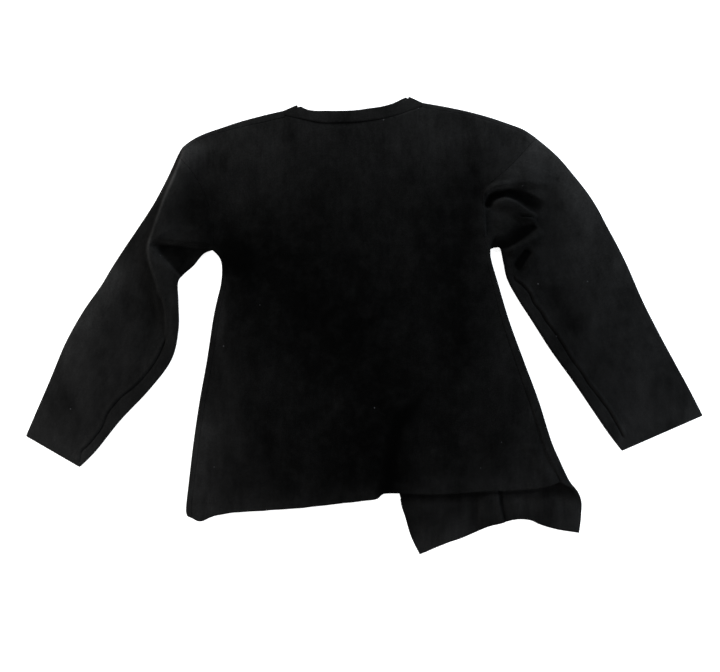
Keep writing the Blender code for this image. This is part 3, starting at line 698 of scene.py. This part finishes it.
def folded_strip(wall, base, places, outs, insets, rolls):
    """Turn a front's edge up and over on to the back, as far as its seam."""
    crown_heights = top_heights(places[:, 0], places[:, 1])
    (outward, z), (inward, inner_z) = edge_profile(crown_heights, rolls, insets - FOLD_RADIUS)
    outer = np.dstack([places[:, None] + outs[:, None] * outward[..., None], z])
    inner = np.dstack([places[:, None] + outs[:, None] * inward[..., None], inner_z])
    rolled = rolls >= 1.0
    flat = np.arange(outward.shape[1]) >= EDGE_TURNS
    spots = np.ix_(rolled, flat)
    heights = top_heights(outer[..., 0], outer[..., 1])
    outer_z, inner_zs = outer[..., 2], inner[..., 2]
    outer_z[spots] = heights[spots]
    inner_zs[spots] = undersides(heights)[spots]
    steps = np.cumsum(np.hypot(np.diff(outward, axis=1), np.diff(z, axis=1)), axis=1)
    cloth = np.dstack([steps + STRIP_PLACE, np.repeat(lengths(places)[:, None], steps.shape[1], axis=1)])
    # Painted crease shade, only on wholly rolled edges.
    crease = top_creases(outer[:, 1:, 0], outer[:, 1:, 1]) * (rolls >= 1.0)[:, None]
    numbers = wall.points(outer[:, 1:], inner[:, 1:], cloth, crease)
    return np.column_stack([base, numbers])


def make_front(name, material, half, edge, hem, band, lift, folds):
    """One front: the panel underneath, with its side and shoulder edges turned over."""
    sign = half.sign
    columns = len(half.shoulder)
    hem_path = wavy(np.vstack([half.side[:1], smooth(hem)[::sign]]), HEM_SEED)
    bottom = along(hem_path, own_parts(half.shoulder))
    border = np.vstack([half.side, half.arm[1:-1], half.shoulder[:1]])
    free_edge = along(wavy(smooth(edge), EDGE_SEED), own_parts(half.side))
    seam = smooth([row[:2] for row in band])
    seam = np.vstack([seam, half.shoulder[-1:]])
    neckline = along(seam, np.linspace(0, 1, len(half.arm)))
    opposite = np.vstack([bottom[-1:], free_edge[1:-1], neckline[:-1], half.shoulder[-1:]])
    plan = coons(bottom, half.shoulder, border, opposite)
    x, y = plan[..., 0], plan[..., 1]
    low = lift(x, y)
    upper = np.minimum(low + CLOTH + folds_at(folds, x, y), below_back(x, y))
    wall = Wall()
    # Painted shade in the flap's folds, by their depth.
    crease = creases(lambda x, y: folds_at(folds, x, y), x, y, 0.0)
    numbers = wall.points(np.dstack([x, y, low]), np.dstack([x, y, upper]), plan, crease)
    side = folded_strip(wall, numbers[:len(half.side), 0], half.side, half.side_out,
                        half.side_inset, half.roll)
    top = folded_strip(wall, numbers[-1], half.shoulder, half.shoulder_out, half.shoulder_inset,
                       np.ones(columns))
    for block in (numbers, side[:, ::-1], top[:, ::-1]):
        wall.grid(block if sign < 0 else block[:, ::-1])
    wall.round_edge(numbers[:3])
    wall.round_edge(numbers[3:len(half.side), :-4:-1].T)
    wall.round_edge(side[:3, 1:])
    wall.round_edge(side[3:, :-3:-1].T, SIDE_DROPS)
    wall.round_edge(top[:, :-3:-1].T, SHOULDER_DROPS)
    return wall.build(name, material)


def make_back(material, left, right):
    """The back, the topmost cloth, between its seams and above its hem."""
    left_side, right_side = left.side_seam(), right.side_seam()
    rows = max(len(left_side), len(right_side))
    left_side, right_side = matched(left_side, rows), matched(right_side, rows)
    arm_rows = max(len(left.arm), len(right.arm))
    left_arm, right_arm = matched(left.arm, arm_rows), matched(right.arm, arm_rows)
    shoulders = []
    for half in (left, right):
        seam = half.shoulder_seam()
        shoulders.append(along(seam, fine_parts(lengths(seam)[-1], (0, BODY_STEP))))
    left_shoulder, right_shoulder = shoulders
    left_border = np.vstack([left_side[:-1], left_arm[:-1], left_shoulder[:1]])
    right_border = np.vstack([right_side[:-1], right_arm[:-1], right_shoulder[:1]])
    neck = smooth([row[:2] for row in BAND_BACK[1:-1]])
    neck = along(neck, fine_parts(lengths(neck)[-1], (0, BODY_STEP)))
    neck = neck[neck[:, 0] > left_shoulder[-1, 0]]  # no column turns back at the corner
    top = np.vstack([left_shoulder, neck[:-1], right_shoulder[::-1]])
    hem = wavy(smooth([left_side[0], *BACK_HEM, right_side[0]]), BACK_HEM_SEED)
    bottom = along(hem, own_parts(top))
    plan = coons(bottom, top, left_border, right_border)
    x, y = plan[..., 0], plan[..., 1]
    heights = top_heights(x, y)
    wall = Wall()
    numbers = wall.points(np.dstack([x, y, heights]), np.dstack([x, y, undersides(heights)]), plan,
                          top_creases(x, y))
    wall.grid(numbers)
    wall.round_edge(numbers[:3])
    neck_start, neck_end = len(left_shoulder), -len(right_shoulder)
    wall.round_edge(numbers[:-4:-1, :neck_start], SHOULDER_DROPS)
    wall.round_edge(numbers[:-5:-1, neck_start:neck_end], NECK_DROPS)
    wall.round_edge(numbers[:-4:-1, neck_end:], SHOULDER_DROPS)
    for border in (numbers[:, :3].T, numbers[:, :-4:-1].T):
        wall.round_edge(border[:, 3:rows], SIDE_DROPS)
        wall.round_edge(border[:, rows:-3], ARM_DROPS)
    return wall.build("cloth_back", material)


def make_sleeve(name, material, sign, armhole, table):
    """One sleeve: a flattened tube whose first ring follows the armhole seam."""
    sections = smooth(table)
    middle = (sections[:, :2] + sections[:, 2:]) / 2
    size = lengths(middle)[-1]
    parts = fine_parts(size, *SLEEVE_ROWS)
    share = np.interp(parts * size, lengths(middle), np.linspace(0, 1, len(middle)))
    ends = np.column_stack([np.interp(share, np.linspace(0, 1, len(middle)), column)
                            for column in sections.T])
    starts, ends = ends[:, None, :2], ends[:, None, 2:]
    seam = smooth(armhole)
    seam_size = lengths(seam)[-1]
    straightened = smoothstep(share / ARMHOLE_FADE)[:, None]
    level = mixed(BODY_HEIGHT, CUFF_HEIGHT, share)[:, None]
    width = mixed(seam_size, np.linalg.norm(ends - starts, axis=2), straightened)

    def plan(reach):
        """Places at parts of the sleeve's width, an array with a row for each ring."""
        chord = mixed(seam[0], seam[-1], reach[..., None])
        bow = along(seam, reach.ravel()).reshape(*reach.shape, 2) - chord
        return mixed(starts, ends, reach[..., None]) + bow * (1 - straightened)[..., None]

    inset = FOLD_RADIUS / width
    columns = round(seam_size / SLEEVE_COLUMN)
    across = inset + (1 - 2 * inset) * np.linspace(0, 1, columns + 1)
    spots = plan(across)
    heights = top_heights(spots[..., 0], spots[..., 1], level)
    crease = top_creases(spots[..., 0], spots[..., 1], level)
    under = plan(across[:, -1 - UNDER_SKIP:0:-UNDER_SKIP])
    turn = np.radians(np.linspace(-90, 90, EDGE_TURNS + 1))[None, :-1]
    turn_back = turn[:, ::-1]
    faces = []
    for radius, drop in ((FOLD_RADIUS, 0.0), (FOLD_RADIUS - CLOTH, CLOTH)):
        near_height, far_height = heights[:, :1] / 2, heights[:, -1:] / 2
        near = near_height + (near_height - drop) * np.sin(turn)
        far = far_height + (far_height - drop) * np.sin(turn_back)
        top = undersides(heights, level) if drop else heights
        faces.append(np.concatenate([
            np.dstack([plan(inset - radius * np.cos(turn) / width), near]),
            np.dstack([spots, top]),
            np.dstack([plan(1 - inset + radius * np.cos(turn_back) / width), far]),
            np.dstack([under, np.full(under.shape[:2], drop)])], axis=1))
    outer, inner = faces
    steps = np.linalg.norm(np.diff(outer[..., :2], axis=1), axis=2)
    around = np.pad(np.cumsum(steps, axis=1), ((0, 0), (1, 0))) - width / 2
    cloth = np.dstack([around, np.broadcast_to((parts * size)[:, None], around.shape)])
    # The painted crease shade runs on round both folded edges; the underside has none.
    crease = np.pad(crease, ((0, 0), (EDGE_TURNS, outer.shape[1] - EDGE_TURNS - columns - 1)),
                    mode="edge")
    crease[:, EDGE_TURNS + columns + 1 + EDGE_TURNS:] = 0.0
    wall = Wall()
    numbers = wall.points(outer, inner, cloth, crease)
    ring = np.column_stack([numbers, numbers[:, :1]])
    wall.grid(ring if sign > 0 else ring[:, ::-1])
    wall.round_edge(numbers[:3], ARM_DROPS)
    wall.round_edge(numbers[:-4:-1])
    return wall.build(name, material)


def make_neckband(material, left, right):
    """The band: up one front's neckline, over the shoulder, round the back and down again."""
    def split(rows):
        table = np.array(rows, float)
        return table[:, :2], table[:, 2:]

    def fill(seam, edge, parts):
        return mixed(seam[:, None], edge[:, None], parts[None, :, None])

    across = fine_parts(BAND_WIDTH, (0, BAND_STEP))
    wall = Wall()
    outer, inner = [], []

    def flat(rows, lift):
        table = smooth(rows, BAND_STEPS)
        plan = fill(*split(table), across)
        low = lift(plan[..., 0], plan[..., 1])
        outer.append(np.dstack([plan, low]))
        inner.append(np.dstack([plan, low + CLOTH]))

    def turn(row, side, rising, shoulder):
        """Over the shoulder's folded edge: from the end of the shoulder to the band's own edge."""
        seam, edge = np.array(row[:2], float), np.array(row[2:], float)
        ahead = unit_rows((edge - seam)[None])[0]
        edge_out = np.array([-ahead[1], ahead[0]]) * side
        out = unit_rows(mixed(shoulder.shoulder_out[-1], edge_out, across[:, None]))
        base = mixed(shoulder.shoulder[-1], edge - edge_out * FOLD_RADIUS, across[:, None])
        angles = np.radians(np.linspace(-90, 90, EDGE_TURNS + 1))
        if not rising:
            angles = angles[::-1]
        for store, inset in ((outer, 0.0), (inner, CLOTH)):
            high = top_heights(base[:, 0], base[:, 1])[None]
            plan = base[None] + out * ((FOLD_RADIUS - inset) * np.cos(angles))[:, None, None]
            z = high / 2 + (high / 2 - inset) * np.sin(angles)[:, None]
            store.append(np.dstack([plan, z]))

    flat(BAND_FRONT_LEFT, front_lift)
    turn(BAND_BACK[0], 1, True, left)
    table = smooth(BAND_BACK[1:-1], BAND_STEPS)
    plan = fill(*split(table), across)
    heights = top_heights(plan[..., 0], plan[..., 1])
    outer.append(np.dstack([plan, heights]))
    inner.append(np.dstack([plan, undersides(heights)]))
    turn(BAND_BACK[-1], -1, False, right)
    top_rows = slice(len(outer[0]) + EDGE_TURNS + 1, len(outer[0]) + EDGE_TURNS + 1 + len(plan))
    flat(BAND_FRONT_RIGHT, no_lift)
    outer, inner = np.vstack(outer), np.vstack(inner)
    run = lengths(outer[:, 0, :2])
    cloth = np.dstack([np.repeat(across[None] * BAND_WIDTH, len(run), axis=0),
                       np.repeat(run[:, None], len(across), axis=1)])
    numbers = wall.points(outer, inner, cloth, np.zeros(outer.shape[:2]))
    wall.grid(numbers)
    wall.round_edge(numbers[top_rows, :4].T, NECK_DROPS)
    wall.round_edge(numbers[:, :-4:-1].T)
    wall.round_edge(numbers[:1, 3:-3])
    wall.round_edge(numbers[-1:, 3:-3])
    return wall.build("cloth_neckband", material)


# ---- materials ----

BLACK = (0.005, 0.005, 0.005, 1)
CLOTH_SHADER = {"Roughness": 0.95, "Specular IOR Level": 0.01, "Sheen Weight": 0.008,
                "Sheen Roughness": 0.45}
FLOOR_SHADER = {"Base Color": (0.6, 0.6, 0.6, 1), "Roughness": 0.9, "Specular IOR Level": 0.1,
                "Emission Color": (1, 1, 1, 1), "Emission Strength": 0.78}

# Layers of lighter and darker black: the coordinates, how they are stretched, the noise's scale,
# detail and roughness, and two stops of (noise, factor).
Layer = namedtuple("Layer", "name place stretch noise low high")
LAYERS = (
    Layer("clouds", "Object", (1.35, 0.6, 1.0), (11.0, 8.0, 0.72), (0.34, 0.5), (0.68, 1.5)),
    Layer("streaks", "UV", (9.0, 1.0, 1.0), (22.0, 4.0, 0.6), (0.30, 0.88), (0.72, 1.13)),
    Layer("flecks", "Object", None, (420.0, 3.0, 0.7), (0.30, 0.70), (0.75, 1.35)),
)
# Fuzz is light that is added, and none where the tone is deep.
FUZZ = Layer("fuzz", "Object", None, (48.0, 4.0, 0.6), (0.44, 0.0), (0.72, 0.0011))
FUZZ_TONES = ((0.02, 0.0), (0.1, 1.0))
LINT_SCALE = 22.0
LINT_SIZE = 0.018  # of a cell
LINT_EDGE = 1.6  # its soft edge ends at this many times that
LINT_COLOR = (0.03, 0.03, 0.032, 1)

# The knit's relief. At these scales the waves are metres wide, so no wale or rib shows: what
# shows is the felted nap over them.
Relief = namedtuple("Relief", "direction scale strength distance")
WALES = Relief("X", 1 / 32, 0.35, 0.0004)
RIBS = Relief("Y", 1 / 48, 0.9, 0.0008)
WAVE = {"Distortion": 1.2, "Detail": 2.0, "Detail_Scale": 3.0}
NAP_NOISE = (650.0, 5.0, 0.65)
NAP_BUMP = (0.6, 0.0005)


def new_material(name, values):
    """A material, with values on its shader's own sockets."""
    material = bpy.data.materials.new(name)
    material.use_nodes = True
    shader = material.node_tree.nodes["Principled BSDF"]
    for socket, value in values.items():
        shader.inputs[socket].default_value = value
    return material, material.node_tree, shader


def add_node(tree, kind, **values):
    """A node with its sockets set by name, where _ stands for a space."""
    node = tree.nodes.new("ShaderNode" + kind)
    for name, value in values.items():
        node.inputs[name.replace("_", " ")].default_value = value
    return node


def mix_colors(tree, kind, factor, a, b):
    """Mix two sockets or colours; factor is a socket or a number."""
    node = tree.nodes.new("ShaderNodeMix")
    node.data_type = "RGBA"
    node.blend_type = kind
    for socket, value in ((node.inputs[0], factor), (node.inputs[6], a), (node.inputs[7], b)):
        if isinstance(value, bpy.types.NodeSocket):
            tree.links.new(value, socket)
        else:
            socket.default_value = value
    return node.outputs[2]


def ramp_from(tree, source, *stops):
    """A grey ramp on a socket, with (position, value) stops."""
    ramp = tree.nodes.new("ShaderNodeValToRGB")
    for element, (position, value) in zip(ramp.color_ramp.elements, stops):
        element.position = position
        element.color = (value, value, value, 1)
    tree.links.new(source, ramp.inputs["Fac"])
    return ramp.outputs["Color"]


def noise_from(tree, place, scale, detail, roughness):
    node = add_node(tree, "TexNoise", Scale=scale, Detail=detail, Roughness=roughness)
    tree.links.new(place, node.inputs["Vector"])
    return node.outputs["Fac"]


def layer_from(tree, places, layer):
    place = places[layer.place]
    if layer.stretch:
        mapping = add_node(tree, "Mapping", Scale=layer.stretch)
        tree.links.new(place, mapping.inputs["Vector"])
        place = mapping.outputs["Vector"]
    return ramp_from(tree, noise_from(tree, place, *layer.noise), layer.low, layer.high)


def bump_from(tree, height, strength, distance):
    node = add_node(tree, "Bump", Strength=strength, Distance=distance)
    tree.links.new(height, node.inputs["Height"])
    return node


def cloth_material(name, relief):
    """Black felted knit: its tone comes from the mesh and holds painted shade and painted highlight,
    with clouds, streaks, flecks, fuzz as painted sheen and lint on it, and a felted nap."""
    material, tree, shader = new_material(name, CLOTH_SHADER)
    links = tree.links
    uv = add_node(tree, "UVMap")
    uv.uv_map = "cloth"
    places = {"Object": add_node(tree, "TexCoord").outputs["Object"], "UV": uv.outputs["UV"]}
    attribute = add_node(tree, "Attribute")
    attribute.attribute_name = "tone"
    tone = attribute.outputs["Fac"]

    color = mix_colors(tree, "MULTIPLY", 1.0, BLACK, tone)
    for layer in LAYERS:
        color = mix_colors(tree, "MULTIPLY", 1.0, color, layer_from(tree, places, layer))
    fuzz = mix_colors(tree, "MULTIPLY", 1.0, layer_from(tree, places, FUZZ),
                      ramp_from(tree, tone, *FUZZ_TONES))
    color = mix_colors(tree, "ADD", 1.0, color, fuzz)
    cells = add_node(tree, "TexVoronoi", Scale=LINT_SCALE)
    links.new(places["Object"], cells.inputs["Vector"])
    lint = ramp_from(tree, cells.outputs["Distance"], (LINT_SIZE, 1.0),
                     (LINT_SIZE * LINT_EDGE, 0.0))
    color = mix_colors(tree, "MIX", lint, color, LINT_COLOR)
    links.new(color, shader.inputs["Base Color"])

    waves = add_node(tree, "TexWave", Scale=relief.scale, **WAVE)
    waves.wave_type = "BANDS"
    waves.bands_direction = relief.direction
    links.new(places["UV"], waves.inputs["Vector"])
    knit_bump = bump_from(tree, waves.outputs["Fac"], relief.strength, relief.distance)
    nap_bump = bump_from(tree, noise_from(tree, places["Object"], *NAP_NOISE), *NAP_BUMP)
    links.new(knit_bump.outputs["Normal"], nap_bump.inputs["Normal"])
    links.new(nap_bump.outputs["Normal"], shader.inputs["Normal"])
    return material


# ---- the stage ----

PHOTO_WIDTH = 720  # pixels
PIXEL = 1.67  # mm on the floor for each pixel of the photo
VIEW_CENTRE = (-6.7, -18.4)
CAMERA_HEIGHT = 3000.0
SENSOR_WIDTH = 36.0

# Low lamps all round, so that the outer parts are brighter than the middle of the back. Each one
# faces the garment's middle; power in watts.
Lamp = namedtuple("Lamp", "name x y z width height power color")
LAMPS = (
    Lamp("far_left", -800, 1500, 720, 800, 400, 40, (1.0, 0.99, 0.97)),
    Lamp("far_right", 950, 1200, 560, 600, 300, 30, (0.82, 0.92, 1.0)),
    Lamp("left", -1150, -100, 420, 700, 300, 9, (1.0, 1.0, 0.98)),
    Lamp("right", 1150, -50, 420, 700, 300, 10, (0.84, 0.93, 1.0)),
    Lamp("near", 100, -1150, 400, 1300, 300, 10, (1.0, 1.0, 1.0)),
)
AMBIENT = 0.15
FLOOR_REACH = 6.0  # metres, each way
FLOOR_DROP = 0.0003  # and how far below the garment it lies


def make_stage():
    """A pale light table, bright enough to take the shadows away, the lamps and the camera."""
    mesh = bpy.data.meshes.new("floor")
    corners = ((-1, -1), (1, -1), (1, 1), (-1, 1))
    mesh.from_pydata([(x * FLOOR_REACH, y * FLOOR_REACH, 0) for x, y in corners],
                     [], [(0, 1, 2, 3)])
    mesh.materials.append(new_material("pale_floor", FLOOR_SHADER)[0])
    floor = add_object("floor", mesh)
    floor.location.z = -FLOOR_DROP

    for row in LAMPS:
        light = bpy.data.lights.new(row.name, "AREA")
        light.shape = "RECTANGLE"
        light.size = row.width * MM
        light.size_y = row.height * MM
        light.energy = row.power
        light.color = row.color
        lamp = add_object(row.name, light)
        lamp.location = Vector((row.x, row.y, row.z)) * MM
        lamp.rotation_euler = (-lamp.location).to_track_quat("-Z", "Y").to_euler()

    world = bpy.data.worlds.new("studio")
    world.use_nodes = True
    background = world.node_tree.nodes["Background"]
    background.inputs["Color"].default_value = (1, 1, 1, 1)
    background.inputs["Strength"].default_value = AMBIENT
    bpy.context.scene.world = world
    bpy.context.scene.view_settings.view_transform = "Standard"

    camera = add_object("camera", bpy.data.cameras.new("camera"))
    camera.data.sensor_width = SENSOR_WIDTH
    camera.data.lens = SENSOR_WIDTH * CAMERA_HEIGHT / (PHOTO_WIDTH * PIXEL)
    camera.location = (VIEW_CENTRE[0] * MM, VIEW_CENTRE[1] * MM, CAMERA_HEIGHT * MM)
    bpy.context.scene.camera = camera


# ---- the garment ----

ALL_TOP_FOLDS = [smoothed_fold(*row) for row in TOP_FOLDS]
ALL_TOP_FOLDS += [fold for seam in SEAMS for fold in seam_folds(seam)]
ALL_FLAP_FOLDS = [smoothed_fold(*row) for row in FLAP_FOLDS]
ALL_TONES = [smoothed_fold(*row, row[-1]) for row in SOFT_TONES]
ALL_TONES += [smoothed_fold(*row) for row in TONES]

left_half = Half(1, SIDE_LEFT, ARMHOLE_LEFT, SHOULDER_LEFT, SEAM_INSET_LEFT, SHOULDER_INSET_LEFT,
                 0.0, LEFT_HEM_OUT)
right_half = Half(-1, SIDE_RIGHT, ARMHOLE_RIGHT, SHOULDER_RIGHT, SEAM_INSET_RIGHT,
                  SHOULDER_INSET_RIGHT, RIGHT_OPENING)

knit = cloth_material("black_knit", WALES)
band_knit = cloth_material("black_band_knit", RIBS)

back = make_back(knit, left_half, right_half)
front_left = make_front("cloth_front_left", knit, left_half, FRONT_LEFT_EDGE, FRONT_LEFT_HEM,
                        BAND_FRONT_LEFT, front_lift, ())
front_right = make_front("cloth_front_right", knit, right_half, FRONT_RIGHT_EDGE, FRONT_RIGHT_HEM,
                         BAND_FRONT_RIGHT[::-1], no_lift, ALL_FLAP_FOLDS)
sleeve_left = make_sleeve("cloth_sleeve_left", knit, 1, ARMHOLE_LEFT, SLEEVE_LEFT)
sleeve_right = make_sleeve("cloth_sleeve_right", knit, -1, ARMHOLE_RIGHT, SLEEVE_RIGHT)
neckband = make_neckband(band_knit, left_half, right_half)

# Each sheet's cut: width and length in metres, its area in square metres, what it rests on.
Cut = namedtuple("Cut", "piece node slot width length area rests_on")
CUTS = (
    Cut(back, "back", "knit", 0.64, 0.70, 0.33, ("front_left", "front_right")),
    Cut(front_left, "front_left", "knit", 0.36, 0.71, 0.17, ()),
    Cut(front_right, "front_right", "knit", 0.42, 0.76, 0.185, ()),
    Cut(sleeve_left, "sleeve_left", "knit", 0.34, 0.54, 0.138, ()),
    Cut(sleeve_right, "sleeve_right", "knit", 0.41, 0.54, 0.177, ()),
    Cut(neckband, "neckband", "band_knit", 0.022, 0.76, 0.0165, ()),
)
for cut in CUTS:
    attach(cut.piece, "root")
    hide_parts(cut.node)

make_stage()
